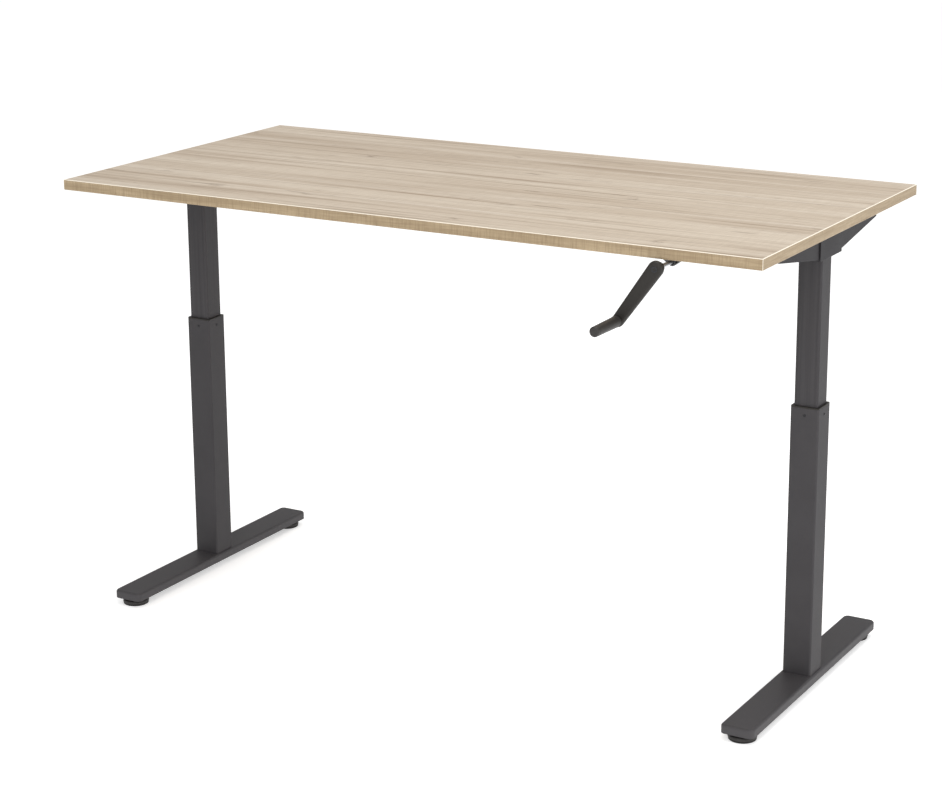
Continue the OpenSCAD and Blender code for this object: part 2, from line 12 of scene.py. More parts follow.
import bmesh
import bpy
import numpy as np
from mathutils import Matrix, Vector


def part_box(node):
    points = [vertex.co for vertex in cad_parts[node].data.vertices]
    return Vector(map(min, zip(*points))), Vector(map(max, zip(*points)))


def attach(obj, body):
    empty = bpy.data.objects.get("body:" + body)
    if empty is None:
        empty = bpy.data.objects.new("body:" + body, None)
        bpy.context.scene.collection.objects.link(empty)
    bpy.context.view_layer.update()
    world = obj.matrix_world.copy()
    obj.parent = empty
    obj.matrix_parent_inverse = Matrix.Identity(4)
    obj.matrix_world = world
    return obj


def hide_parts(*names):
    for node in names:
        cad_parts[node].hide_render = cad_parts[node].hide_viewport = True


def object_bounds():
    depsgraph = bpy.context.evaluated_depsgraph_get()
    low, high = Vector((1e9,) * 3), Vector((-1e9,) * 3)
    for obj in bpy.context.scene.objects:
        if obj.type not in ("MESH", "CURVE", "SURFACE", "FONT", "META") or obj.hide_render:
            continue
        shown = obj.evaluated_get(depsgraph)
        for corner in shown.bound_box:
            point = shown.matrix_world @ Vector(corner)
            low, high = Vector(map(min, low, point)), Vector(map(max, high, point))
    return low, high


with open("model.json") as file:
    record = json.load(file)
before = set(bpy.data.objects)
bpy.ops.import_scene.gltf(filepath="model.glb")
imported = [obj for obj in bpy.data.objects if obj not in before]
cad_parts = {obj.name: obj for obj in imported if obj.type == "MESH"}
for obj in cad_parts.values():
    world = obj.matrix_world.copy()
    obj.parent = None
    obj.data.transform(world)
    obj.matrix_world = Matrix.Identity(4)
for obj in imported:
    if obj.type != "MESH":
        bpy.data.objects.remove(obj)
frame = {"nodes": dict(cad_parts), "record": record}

cad_low, cad_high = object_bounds()
nodes = frame["nodes"]
body_of_node = {n: b for b, names in frame["record"]["behaviour"]["bodies"].items() for n in names}
slot_of_node = {part["node"]: part["material_slot"] for part in frame["record"]["subparts"]}
render_levels = 2
print("desk box in metres:", [round(v, 3) for v in (*cad_low, *cad_high)])

# %% [markdown]
# ## Camera
# The desk is seen from its right front corner, a little above the top, through a long lens. A studio
# camera keeps the legs upright with a shifted lens; a little shift is enough here, and the rest is a
# gentle downward tilt, so that every other view of the desk stays well framed too. The place is given
# from the columns' line, which is where the two lower tubes stand.

# %% Place the camera
columns_y = (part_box("left_lower_tube")[0].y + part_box("left_lower_tube")[1].y) / 2
camera_place = (2.3686, -4.1168, 1.8825)
camera_yaw, camera_pitch, camera_roll = 30.37, -14.85, -0.39
camera_lens, film_width = 88.05, 36
camera_shift = (0.003, -0.050)
far_limit = 200
camera = bpy.data.objects.new("camera", bpy.data.cameras.new("camera"))
camera.data.lens = camera_lens
camera.data.sensor_width = film_width
camera.data.shift_x, camera.data.shift_y = camera_shift
camera.data.clip_end = far_limit
camera.location = (camera_place[0], camera_place[1] + columns_y, camera_place[2])
camera.rotation_euler = (math.radians(90 + camera_pitch), 0, math.radians(camera_yaw))
camera.rotation_euler.rotate_axis("Z", math.radians(camera_roll))
bpy.context.scene.collection.objects.link(camera)
bpy.context.scene.camera = camera
print("camera stands", round(math.dist(camera.location, (0, 0, cad_high.z / 2)), 2), "m from the desk")

# %% [markdown]
# ## Node helpers
# A finish is a small graph of nodes. Writing each node by hand is long and easy to get wrong, so a few
# helpers make one node each and hand back its output. All patterns read Object coordinates: every object
# sits at the origin with its place in its mesh, so the pattern keeps its real size in metres.

# %% Helpers that add shader nodes
def add(tree, kind, sockets=None, **settings):
    """Adds one node; sockets maps an input's name or number to a value or to another node's output."""
    made = tree.nodes.new(kind)
    for name, value in settings.items():
        setattr(made, name, value)
    for socket, value in (sockets or {}).items():
        if isinstance(value, bpy.types.NodeSocket):
            tree.links.new(value, made.inputs[socket])
        else:
            made.inputs[socket].default_value = value
    return made


def stretched(tree, scale, shift=(0, 0, 0)):
    """Object coordinates in metres, multiplied axis by axis: a large number packs the pattern tighter."""
    own = add(tree, "ShaderNodeTexCoord").outputs["Object"]
    return add(tree, "ShaderNodeMapping", {"Vector": own, "Scale": scale, "Location": shift}).outputs[0]


def noise(tree, scale, detail=2.0, rough=0.5, swirl=0.0, shift=(0, 0, 0)):
    """Smooth random values round a half; its lumps are one over the scale wide along each axis."""
    return add(tree, "ShaderNodeTexNoise", {
        "Vector": stretched(tree, scale, shift), "Scale": 1.0, "Detail": detail, "Roughness": rough,
        "Distortion": swirl}).outputs[0]


def remap(tree, value, low, high, to_low=0.0, to_high=1.0):
    """Straight-line map of low..high to to_low..to_high, clamped at both ends."""
    return add(tree, "ShaderNodeMapRange", {0: value, 1: low, 2: high, 3: to_low, 4: to_high}).outputs[0]


def maths(tree, operation, first, second):
    """One sum on two values."""
    return add(tree, "ShaderNodeMath", {0: first, 1: second}, operation=operation).outputs[0]


def mixed(tree, factor, first, second):
    """Colour between two colours, by a factor from 0 to 1."""
    return add(tree, "ShaderNodeMix", {0: factor, 6: first, 7: second}, data_type="RGBA").outputs[2]


def raised(tree, height, strength, distance, normal=None):
    """Bump: the surface seems lifted by height times distance metres, on top of a given normal if any."""
    sockets = {"Strength": strength, "Distance": distance, "Height": height}
    if normal:
        sockets["Normal"] = normal
    return add(tree, "ShaderNodeBump", sockets).outputs[0]


def start_finish(name, **sockets):
    """A new material: returns it with its tree and its Principled shader, whose plain numbers are set."""
    made = bpy.data.materials.new(name)
    made.use_nodes = True
    shader = made.node_tree.nodes["Principled BSDF"]
    for socket, value in sockets.items():
        shader.inputs[socket.replace("_", " ")].default_value = value
    return made, made.node_tree, shader


def rgb(red, green, blue):
    """A screen colour from 0 to 255 as the linear colour that a shader wants."""
    screen = np.array([red, green, blue]) / 255
    linear = np.where(screen <= 0.04045, screen / 12.92, ((screen + 0.055) / 1.055) ** 2.4)
    return (*linear.tolist(), 1.0)


print("node helpers ready")

# %% [markdown]
# ## One recipe for painted, moulded and plated surfaces
# Powder coat, moulded plastic, zinc and rubber share a build-up: a base colour that drifts slightly over
# the piece, a fine grain that shows in gloss and in relief, and edges where the coat is thinner and
# rubbed. The edge mask compares the true normal with one smoothed over a small radius: they only differ
# near an edge. The same smoothed normal takes the last sharpness off hard solid edges.

# %% The coated-surface recipe
smoothing_samples = 4
patch_scale = (55, 55, 55)  # patches a metre where the edges are rubbed
edge_dots = (0.995, 0.86)  # agreement of the two normals where rubbing starts, and where it is full
speckle_depth = 0.12


def coated(name, dark, light, worn, grain, relief, gloss, edge=0.0012, wear=0.35, drift=(6, 6, 6), **plain):
    """Finish whose colour drifts dark..light; grain is lumps a metre, relief their height in metres,
    gloss the two roughness limits, edge the radius in metres of the smoothed normal, wear how much of the
    worn colour shows on edges, and drift how tightly the colour changes along each axis."""
    made, tree, shader = start_finish(name, **plain)
    soft = add(tree, "ShaderNodeBevel", {"Radius": edge}, samples=smoothing_samples).outputs[0]
    own = add(tree, "ShaderNodeNewGeometry").outputs["Normal"]
    same = add(tree, "ShaderNodeVectorMath", {0: soft, 1: own}, operation="DOT_PRODUCT").outputs["Value"]
    patchy = remap(tree, noise(tree, patch_scale, 3.0, 0.6), 0.35, 0.7)
    rubbed = maths(tree, "MULTIPLY", remap(tree, same, *edge_dots, 0.0, wear), patchy)
    broad = remap(tree, noise(tree, drift, 4.0, 0.6), 0.3, 0.7)
    fine = noise(tree, (grain,) * 3, 2.0, 0.55)
    speckle = remap(tree, fine, 0.25, 0.75, -speckle_depth, speckle_depth)
    tone = mixed(tree, maths(tree, "ADD", broad, speckle), dark, light)
    tree.links.new(mixed(tree, rubbed, tone, worn), shader.inputs["Base Color"])
    half_broad, half_fine = (maths(tree, "MULTIPLY", part, 0.5) for part in (broad, fine))
    rough = remap(tree, maths(tree, "ADD", half_broad, half_fine), 0.25, 0.75, *gloss)
    tree.links.new(rough, shader.inputs["Roughness"])
    tree.links.new(raised(tree, fine, 0.8, relief, soft), shader.inputs["Normal"])
    return made


finishes = {
    "frame_paint": coated("frame_paint", rgb(51, 49, 51), rgb(62, 60, 62), rgb(92, 90, 91), grain=900,
                          relief=0.00012, gloss=(0.50, 0.64), Specular_IOR_Level=0.25),
    "black_plastic": coated("black_plastic", rgb(27, 24, 21), rgb(36, 33, 29), rgb(74, 69, 64),
                            grain=1500, relief=0.00007, gloss=(0.42, 0.56), wear=0.25,
                            Specular_IOR_Level=0.35),
    "gloss_black_plastic": coated("gloss_black_plastic", rgb(22, 22, 23), rgb(30, 30, 31), rgb(60, 60, 61),
                                  grain=500, relief=0.00001, gloss=(0.10, 0.18), wear=0.2,
                                  Coat_Weight=0.5, Coat_Roughness=0.08),
    "zinc_steel": coated("zinc_steel", rgb(170, 172, 176), rgb(196, 198, 200), rgb(222, 223, 225),
                         grain=700, relief=0.00004, gloss=(0.24, 0.40), Metallic=1.0),
    "dark_screw": coated("dark_screw", rgb(38, 38, 40), rgb(50, 50, 52), rgb(110, 110, 112),
                         grain=1200, relief=0.00003, gloss=(0.30, 0.45), edge=0.0003, Metallic=0.6),
    "gear_plastic": coated("gear_plastic", rgb(210, 205, 190), rgb(224, 220, 206), rgb(238, 236, 226),
                           grain=900, relief=0.00005, gloss=(0.35, 0.50), edge=0.0005,
                           Subsurface_Weight=0.05),
    "glide_plastic": coated("glide_plastic", rgb(30, 28, 27), rgb(42, 39, 37), rgb(76, 72, 68),
                            grain=1200, relief=0.00008, gloss=(0.45, 0.60)),
    "rubber_sole": coated("rubber_sole", rgb(20, 19, 18), rgb(30, 28, 27), rgb(52, 50, 48),
                          grain=1800, relief=0.00010, gloss=(0.65, 0.82), wear=0.5),
}
# A darker copy of the frame paint: painted shade for the saddles and arms, which sit in the shadow under the
# desktop.
shaded_arm_paint = coated("shaded_arm_paint", rgb(34, 32, 35), rgb(42, 40, 43), rgb(84, 82, 84),
                   grain=900, relief=0.00010, gloss=(0.50, 0.62), Specular_IOR_Level=0.3)
# A lighter copy of the frame paint: painted light for the light the feet catch from above.
lit_foot_paint = coated("lit_foot_paint", rgb(59, 57, 59), rgb(71, 69, 71), rgb(98, 96, 97), grain=900,
                    relief=0.00012, gloss=(0.46, 0.60), edge=0.0020, Specular_IOR_Level=0.3)
grip_plastic = coated("grip_plastic", rgb(42, 40, 38), rgb(53, 50, 47), rgb(84, 80, 76),
                      grain=1500, relief=0.00007, gloss=(0.42, 0.56), wear=0.25, Specular_IOR_Level=0.35)
slid_paint = coated("slid_paint", rgb(46, 44, 46), rgb(64, 62, 64), rgb(92, 90, 91), grain=900,
                    relief=0.00010, gloss=(0.48, 0.62), drift=(120, 120, 1.6), Specular_IOR_Level=0.25)
print("coated finishes:", sorted(finishes))

# %% [markdown]
# ## Oak-look laminate
# The desktop is a printed and embossed board: broad pale and greyish bands run along the length, thin
# darker streaks follow them, a few dark figures sit between, and a faint saw-cut ripple crosses the
# grain. Each of these is one stretched noise, long along X and narrow along Y, laid over the last.

# %% The laminate finish
def oak_laminate(name):
    """Broad bands, streaks, fine lines, dark figures, pores and cross ripple, all stretched along X."""
    grey_band, pale_band = rgb(182, 165, 144), rgb(201, 187, 168)
    streak_brown, streak_cream = rgb(146, 126, 104), rgb(214, 203, 187)
    line_brown, figure_brown = rgb(138, 119, 97), rgb(122, 103, 83)
    pore_brown, ripple_brown = rgb(130, 111, 91), rgb(150, 131, 109)
    made, tree, shader = start_finish(name)
    bands = noise(tree, (0.7, 8, 8), 3.0, 0.5, 0.4)
    streaks = noise(tree, (1.1, 58, 58), 5.0, 0.6, 0.4)
    lines = noise(tree, (1.8, 140, 140), 3.0, 0.55, 0.3, (1.7, 0.2, 0))
    figures = remap(tree, noise(tree, (4.5, 30, 30), 4.0, 0.68, 1.6, (3.1, 0.4, 0)), 0.61, 0.72)
    pores = noise(tree, (26, 640, 640), 2.0, 0.6)
    ripple = noise(tree, (360, 14, 14), 2.0, 0.5)
    tone = mixed(tree, remap(tree, bands, 0.34, 0.66), grey_band, pale_band)
    tone = mixed(tree, remap(tree, streaks, 0.53, 0.70, 0.0, 0.9), tone, streak_brown)
    tone = mixed(tree, remap(tree, streaks, 0.45, 0.28, 0.0, 0.6), tone, streak_cream)
    tone = mixed(tree, remap(tree, lines, 0.56, 0.70, 0.0, 0.5), tone, line_brown)
    lined_figures = maths(tree, "MULTIPLY", figures, remap(tree, lines, 0.35, 0.6, 0.35, 0.95))
    tone = mixed(tree, lined_figures, tone, figure_brown)
    tone = mixed(tree, remap(tree, pores, 0.54, 0.78, 0.0, 0.45), tone, pore_brown)
    tone = mixed(tree, remap(tree, ripple, 0.35, 0.75, 0.0, 0.2), tone, ripple_brown)
    tree.links.new(tone, shader.inputs["Base Color"])
    rough = maths(tree, "ADD", remap(tree, streaks, 0.3, 0.7, 0.38, 0.50),
                  remap(tree, pores, 0.4, 0.8, 0.0, 0.12))
    tree.links.new(rough, shader.inputs["Roughness"])
    height = maths(tree, "SUBTRACT", maths(tree, "MULTIPLY", ripple, 0.6), pores)
    tree.links.new(raised(tree, height, 0.5, 0.00012), shader.inputs["Normal"])
    return made


finishes["oak_laminate"] = oak_laminate("oak_laminate")
print("laminate has", len(finishes["oak_laminate"].node_tree.nodes), "nodes")

# %% [markdown]
# ## Oak-look edge band
# The edge is a plastic strip with its own print: a finer, yellower cross-hatch of short upright cuts over
# level fibres. Where its long edges are scraped round after gluing, the print is gone and bare plastic
# shows, painted very pale as a highlight on the rounded arris; this painted highlight is what makes the
# outline of the top so crisp. The pale line is found by height, and the corners by length and depth, from the
# desk's own box.

# %% The edge band finish
def oak_edge(name, top, half_width, middle_y, half_depth, highlight_scrape):
    """Cross-hatched print, with a very pale line along the upper edge and down the four corners: bare plastic
    where the print is scraped off, painted brighter as a highlight on the rounded arris. A point is in this
    painted highlight within about half the scraped width of the top, or of the ends along X and Y at once."""
    # The very pale colour is bare plastic painted brighter, as the highlight on the rounded arris.
    brown, sand, bare_plastic_highlight = rgb(150, 130, 100), rgb(174, 154, 123), rgb(238, 229, 212)
    cut_brown, fibre_brown = rgb(118, 97, 69), rgb(116, 95, 68)
    made, tree, shader = start_finish(name)
    upright = noise(tree, (430, 430, 30), 2.0, 0.6)
    level = noise(tree, (16, 16, 640), 3.0, 0.6)
    broad = noise(tree, (5, 5, 60), 3.0, 0.6, 0.6)
    tone = mixed(tree, remap(tree, broad, 0.3, 0.7), brown, sand)
    tone = mixed(tree, remap(tree, upright, 0.45, 0.75, 0.0, 0.55), tone, cut_brown)
    tone = mixed(tree, remap(tree, level, 0.45, 0.75, 0.0, 0.5), tone, fibre_brown)
    place = add(tree, "ShaderNodeSeparateXYZ", {0: stretched(tree, (1, 1, 1), (0, -middle_y, 0))})
    near_top = remap(tree, place.outputs["Z"], top - 0.6 * highlight_scrape, top - 0.4 * highlight_scrape)
    ends = []
    for axis, half in (("X", half_width), ("Y", half_depth)):
        out = maths(tree, "ABSOLUTE", place.outputs[axis], 0.0)
        ends.append(remap(tree, out, half - highlight_scrape / 2, half - highlight_scrape / 4))
    # Mask of the painted highlight: the scraped top edge and the four corners.
    bare_highlight_mask = maths(tree, "MAXIMUM", near_top, maths(tree, "MULTIPLY", *ends))
    tree.links.new(mixed(tree, bare_highlight_mask, tone, bare_plastic_highlight), shader.inputs["Base Color"])
    tree.links.new(remap(tree, level, 0.3, 0.7, 0.36, 0.5), shader.inputs["Roughness"])
    tree.links.new(raised(tree, maths(tree, "ADD", upright, level), 0.4, 0.00010), shader.inputs["Normal"])
    return made


# Width of the pale line: the scraped edge, painted as a highlight on the arris.
highlight_scrape_width = 0.0020
band_low, band_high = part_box("front_edge_band")[0].y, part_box("back_edge_band")[1].y
finishes["oak_edge"] = oak_edge("oak_edge", cad_high.z, cad_high.x, (band_low + band_high) / 2,
                                (band_high - band_low) / 2, highlight_scrape_width)
print("finishes ready:", len(finishes))

# %% [markdown]
# ## Finishes onto the solids that stay
# The record says which finish each solid takes. Every solid gets it through its own material slot; the
# upper tubes get the paint with faint upright rub marks, since they slide in the guides. Saddles and
# support arms get a darker copy of the paint, as painted shade for the shadow under the top, the feet a
# lighter copy, as painted light from above, and the grip is moulded in a slightly lighter plastic than
# the crank arm.

# %% Give each solid its finish
# Saddles and support arms take the darker copy of the paint, painted shade for the shadow under the top.
special = {"upper_tube": slid_paint, "saddle": shaded_arm_paint, "support_arm": shaded_arm_paint,
           # Foot bars take the lighter copy of the paint, painted light falling on them from above.
           "foot_bar": lit_foot_paint, "grip_sleeve": grip_plastic, "grip_end_cap": grip_plastic}
for name, node in nodes.items():
    ending = next((e for e in special if name.endswith(e)), None)
    finish = special[ending] if ending else finishes[slot_of_node[name]]
    if not node.material_slots:
        node.data.materials.append(finish)
    for place in node.material_slots:
        place.material = finish
print("solids finished:", len(nodes))

# %% [markdown]
# ## Surfaces from numbers
# New pieces are grids of points: rows run along a profile, columns run round it. A grid becomes a closed
# skin when its first and last rows shrink to one point each, or when its last row comes back to its first.
# Points that fall together are merged, and the faces are turned outwards.

# %% Helpers that turn grids into pieces
smooth_below = 35
merge_distance, sliver_length = 1e-6, 1e-7


def middle(node):
    """Centre and half size of a CAD solid, as two arrays in metres."""
    low, high = (np.array(corner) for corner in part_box(node))
    return (low + high) / 2, (high - low) / 2


def finish_piece(name, mesh, node):
    """Links a mesh as a piece that stands for a CAD node and rides on its body. Edges stay sharp only where
    the faces meet at more than smooth_below degrees."""
    mesh.shade_smooth()
    mesh.set_sharp_from_angle(angle=math.radians(smooth_below))
    made = bpy.data.objects.new(name, mesh)
    bpy.context.scene.collection.objects.link(made)
    made.data.materials.clear()
    made.data.materials.append(nodes[node].material_slots[0].material)
    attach(made, body_of_node[node])
    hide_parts(node)
    return made


def from_grids(name, grids, node):
    """Quads between neighbouring rows and columns of each grid; the last column meets the first."""
    points, faces, start = [], [], 0
    for grid in grids:
        rows, columns = grid.shape[:2]
        i, j = np.meshgrid(np.arange(rows - 1), np.arange(columns), indexing="ij")
        k = (j + 1) % columns
        ring = np.stack([i * columns + j, i * columns + k, (i + 1) * columns + k, (i + 1) * columns + j], -1)
        faces.append(ring.reshape(-1, 4) + start)
        points.append(grid.reshape(-1, 3))
        start += rows * columns
    mesh = bpy.data.meshes.new(name)
    mesh.from_pydata(np.concatenate(points).tolist(), [], np.concatenate(faces).tolist())
    skin = bmesh.new()
    skin.from_mesh(mesh)
    bmesh.ops.remove_doubles(skin, verts=skin.verts, dist=merge_distance)
    bmesh.ops.dissolve_degenerate(skin, edges=skin.edges, dist=sliver_length)
    bmesh.ops.recalc_face_normals(skin, faces=skin.faces)
    skin.to_mesh(mesh)
    skin.free()
    finish_piece(name, mesh, node)
    print(f"{name}: {len(mesh.polygons)} faces")


def turned(profile, steps=48, shape=None):
    """Lathe round Z: row (r, h) becomes the circle (r cos a, r sin a, h). shape(r, h, a) may return
    another radius for every point, for a hexagon, ribs, teeth or a thread."""
    profile = np.array(profile, float)
    r, h = profile[:, :1], profile[:, 1:2]
    a = np.linspace(0, 2 * np.pi, steps, endpoint=False)[None, :]
    radius = np.broadcast_to(r, (len(r), steps)) if shape is None else shape(r, h, a)
    return np.stack([radius * np.cos(a), radius * np.sin(a), np.broadcast_to(h, radius.shape)], -1)


def aimed(grid, along, place):
    """Turns a grid's Z axis to point along a direction, and puts its origin at a place."""
    along = np.array(along, float) / np.linalg.norm(along)
    side = np.cross((0, 1, 0) if abs(along[1]) < 0.9 else (0, 0, 1), along)
    side /= np.linalg.norm(side)
    return grid @ np.stack([side, np.cross(along, side), along]) + np.array(place, float)


def arc(centre, radius, start, end, steps=6):
    """Points on a circle's arc between two angles in degrees, as (r, h) rows of a profile."""
    a = np.radians(np.linspace(start, end, steps))
    return np.stack([centre[0] + radius * np.cos(a), centre[1] + radius * np.sin(a)], -1)


print("surface helpers ready")

# %% [markdown]
# ## Softened sheet metal and mouldings
# Saddles, arms, rails and housings already have the right shape, but a solid model ends in knife edges,
# and folded sheet never does. A copy of each solid is merged back into whole faces and its edges get a
# small live bevel, as wide as the real fold or draft edge.

# %% Soften the folded and moulded pieces
fold_angle = 30


def softened(node, width):
    """A merged copy of a solid whose edges sharper than fold_angle are rounded by width metres."""
    skin = bmesh.new()
    skin.from_mesh(nodes[node].data)
    bmesh.ops.remove_doubles(skin, verts=skin.verts, dist=merge_distance)
    bmesh.ops.dissolve_limit(skin, angle_limit=math.radians(1), verts=skin.verts, edges=skin.edges)
    mesh = bpy.data.meshes.new(node + "_soft")
    skin.to_mesh(mesh)
    skin.free()
    if "custom_normal" in mesh.attributes:
        mesh.attributes.remove(mesh.attributes["custom_normal"])
    made = finish_piece(node + "_soft", mesh, node)
    bevel = made.modifiers.new("fold", "BEVEL")
    bevel.width, bevel.segments, bevel.limit_method = width, render_levels, "ANGLE"
    bevel.angle_limit = math.radians(fold_angle)
    bevel.use_clamp_overlap = True
    bevel.harden_normals = True


fold_width = {"saddle": 0.0012, "support_arm": 0.0009, "cross_rail": 0.0010, "gearbox_housing": 0.0008,
              "guide_collar": 0.0007, "guide_shoe": 0.0006, "base_plate": 0.0006}
for name in nodes:
    for ending, width in fold_width.items():
        if name.endswith(ending):
            softened(name, width)

# %% [markdown]
# ## Where the small solids are
# Some nodes hold several screws at once. Each screw's own box is needed to put a finished screw in its
# place: points joined by an edge get the same label, the labels spread until they stop changing, and
# every label left is one solid.

# %% Find the separate solids of a node
def solids_of(node):
    """Lowest and highest corner of each separate solid of a CAD node, sorted by place."""
    mesh = nodes[node].data
    co = np.empty(len(mesh.vertices) * 3, np.float32)
    mesh.vertices.foreach_get("co", co)
    edges = np.empty(len(mesh.edges) * 2, np.int32)
    mesh.edges.foreach_get("vertices", edges)
    spots, same = np.unique(np.round(co.reshape(-1, 3), 6), axis=0, return_inverse=True)
    edges = same.ravel()[edges.reshape(-1, 2)]
    label = np.arange(len(spots))
    settled = False
    while not settled:
        low = label.copy()
        np.minimum.at(low, edges[:, 0], label[edges[:, 1]])
        np.minimum.at(low, edges[:, 1], label[edges[:, 0]])
        low = low[low]
        settled = bool((low == label).all())
        label = low
    return [(spots[label == n].min(0), spots[label == n].max(0)) for n in np.unique(label)]


print({n: len(solids_of(n)) for n in ("desktop_screws", "collar_screws", "rail_bolts", "foot_screws")})

# %% [markdown]
# ## Screws
# A screw head is a lathe profile with a recess in it. The recess is the same turning, except that its
# rows follow a hexagon in place of a circle. Threads are ridges on the shank, cut into its radius, so they
# stay inside the hole they bite into.

# %% Screw shapes
screw_steps, thread_root = 24, 0.82


def hexagon(a):
    """Distance to a hexagon's side over its corner distance, by angle."""
    return math.cos(math.pi / 6) / np.cos(np.mod(a, math.pi / 3) - math.pi / 6)


def screw(head_r, head_t, core_r, length, recess_r, dome, ridges=8):
    """A pan head from 0 to -head_t and a ridged shank up to length; the recess is hexagonal."""
    depth = 0.55 * head_t
    crown = arc((head_r - dome, -head_t + dome), dome, 0, -90, 5)
    rows = [(0, length), (0.55 * core_r, length - 0.4 * core_r), (0.9 * core_r, length - core_r)]
    zigzag = np.linspace(length - 1.4 * core_r, 0.25 * length, 2 * ridges)
    rows += [(core_r * (1.0 if k % 2 else thread_root), z) for k, z in enumerate(zigzag)]
    rows += [(core_r, 0), (head_r, 0), *crown.tolist()]
    recess_from = len(rows)
    rows += [(recess_r, -head_t), (recess_r * 0.94, -head_t + depth), (0, -head_t + depth)]

    def shape(r, h, a):
        """Round rows stay round; the recess rows follow the hexagon."""
        row = np.arange(len(r))[:, None]
        return np.where(row >= recess_from, r * hexagon(a), r * np.ones_like(a))

    return turned(rows, screw_steps, shape)


def placed_screws(name, node, along_of, **sizes):
    """One screw per solid of the node: along_of(centre) gives its shank's direction, head seat and length
    are read from the solid's own box."""
    grids = []
    for low, high in solids_of(node):
        centre, size = (low + high) / 2, high - low
        along = np.array(along_of(centre), float)
        whole = float(np.abs(size @ along))
        seat = centre - along * (whole / 2 - sizes["head_t"])
        grids.append(aimed(screw(length=whole - sizes["head_t"], **sizes), along, seat))
    from_grids(name, grids, node)


placed_screws("desktop_screws_cut", "desktop_screws", lambda c: (0, 0, 1),
              head_r=0.0042, head_t=0.0024, core_r=0.002, recess_r=0.0021, dome=0.0016)
placed_screws("foot_screws_cut", "foot_screws", lambda c: (0, 0, 1),
              head_r=0.006, head_t=0.004, core_r=0.003, recess_r=0.0031, dome=0.001)
placed_screws("rail_bolts_cut", "rail_bolts", lambda c: (-np.sign(c[0]), 0, 0),
              head_r=0.006, head_t=0.004, core_r=0.0035, recess_r=0.0031, dome=0.001)


def towards_column(c):
    """Inward direction of a collar screw: the nearer column's line, straight through one tube wall."""
    column = middle("left_lower_tube")[0] if c[0] < 0 else middle("right_lower_tube")[0]
    out = (c - column)[:2]
    return (-np.sign(out[0]), 0, 0) if abs(out[0]) > abs(out[1]) else (0, -np.sign(out[1]), 0)


placed_screws("collar_screws_cut", "collar_screws", towards_column,
              head_r=0.0028, head_t=0.001, core_r=0.0015, recess_r=0.0014, dome=0.0006, ridges=3)

# %% [markdown]
# ## Crank arm
# The arm is a moulded lever: a large round hub, a smaller round end at the grip, straight flanks between,
# and generously rounded edges. Its outline is the hull of two circles, so drawing every circle smaller by
# the same amount moves the outline evenly inwards. Rounding an edge is then a quarter circle of insets.

# %% Hull slab
def hull_slab(circles, depth, edge, steps=96, rounding=7):
    """Slab from z 0 to depth over the hull of circles (x, y, r). Point at normal angle a lies on the
    circle that reaches farthest along a; insetting every radius by s offsets the outline by s."""
    x, y, r = (np.array(c, float)[:, None] for c in zip(*circles))
    a = np.linspace(0, 2 * np.pi, steps, endpoint=False)[None, :]
    pick = (x * np.cos(a) + y * np.sin(a) + r).argmax(0)
    base = np.stack([x[pick, 0], y[pick, 0]], -1)
    out = np.stack([np.cos(a[0]), np.sin(a[0])], -1)
    quarter = np.linspace(0, np.pi / 2, rounding)
    inset = np.concatenate([edge * (1 - np.sin(quarter)), edge * (1 - np.sin(quarter[::-1]))])
    level = np.concatenate([edge * (1 - np.cos(quarter)), depth - edge * (1 - np.cos(quarter[::-1]))])
    rings = base[None] + (r[pick, 0][None] - inset[:, None])[..., None] * out[None]
    heart = base.mean(0)
    flat = np.broadcast_to(heart, base.shape)
    rings = np.concatenate([flat[None], (flat + (rings[0] - flat) * 0.6)[None], rings,
                            (flat + (rings[-1] - flat) * 0.6)[None], flat[None]])
    level = np.concatenate([[0, 0], level, [depth, depth]])
    return np.concatenate([rings, np.broadcast_to(level[:, None, None], (*rings.shape[:2], 1))], -1)


arm_low, arm_high = (np.array(corner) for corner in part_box("crank_arm"))
hub = middle("crank_rod")[0]
elbow = middle("grip_sleeve")[0]
boss_length = 0.008
hub_radius = arm_high[0] - hub[0]
elbow_radius = elbow[0] - arm_low[0]
arm_depth = arm_high[1] - arm_low[1] - boss_length
print("crank arm: hub", round(hub_radius * 1e3, 1), "elbow", round(elbow_radius * 1e3, 1), "mm radius,",
      round(arm_depth * 1e3, 1), "mm thick")

# %% Build the crank arm
# A slab is drawn in its own x, y with z as depth; swapping y and z stands it up facing the user. The
# second grid is the boss behind the hub that clamps the rod: it starts inside the arm and ends in a bore.
arm_edge = 0.0050
boss_radius, boss_edge, boss_rooted = 0.011, 0.0015, boss_length + 0.002
bore_radius, bore_floor = 0.0045, 0.006
lever = hull_slab([(hub[0], hub[2], hub_radius), (elbow[0], elbow[2], elbow_radius)], arm_depth, arm_edge)
lever = lever[..., [0, 2, 1]] + np.array([0, arm_low[1], 0])
boss = turned([(0, 0), (boss_radius - 0.0005, 0), (boss_radius, 0.002),
               *arc((boss_radius - boss_edge, boss_rooted - boss_edge), boss_edge, 0, 90, 4),
               (bore_radius, boss_rooted), (bore_radius, bore_floor), (0, bore_floor)])
boss = aimed(boss, (0, 1, 0), (hub[0], arm_high[1] - boss_rooted, hub[2]))
from_grids("crank_arm_moulded", [lever, boss], "crank_arm")

# %% Build the hub screw
# Only its flat head shows: a rounded rim, a shallow ring and a recess, measured outwards from the arm.
head_radius, head_edge = 0.0062, 0.0005
head_rooted, recess_floor = -0.002, -0.0012
head_rows = [(0, head_rooted), (head_radius, head_rooted),
             *arc((head_radius - head_edge, 0.0002), head_edge, 0, 90, 4),
             (0.0046, 0.0007), (0.0044, 0.0003), (0.0028, 0.0002), (0.0026, recess_floor), (0, recess_floor)]
head = aimed(turned(head_rows), (0, -1, 0), (hub[0], arm_low[1], hub[2]))
from_grids("crank_hub_screw_cut", [head], "crank_hub_screw")

# %% [markdown]
# ## Grip
# The grip is a plastic sleeve that spins on a pin: a bead next to the arm, a slight taper, and a cap
# pressed into its free end with a thin seam between. Both are lathe profiles, measured outwards from the
# arm.

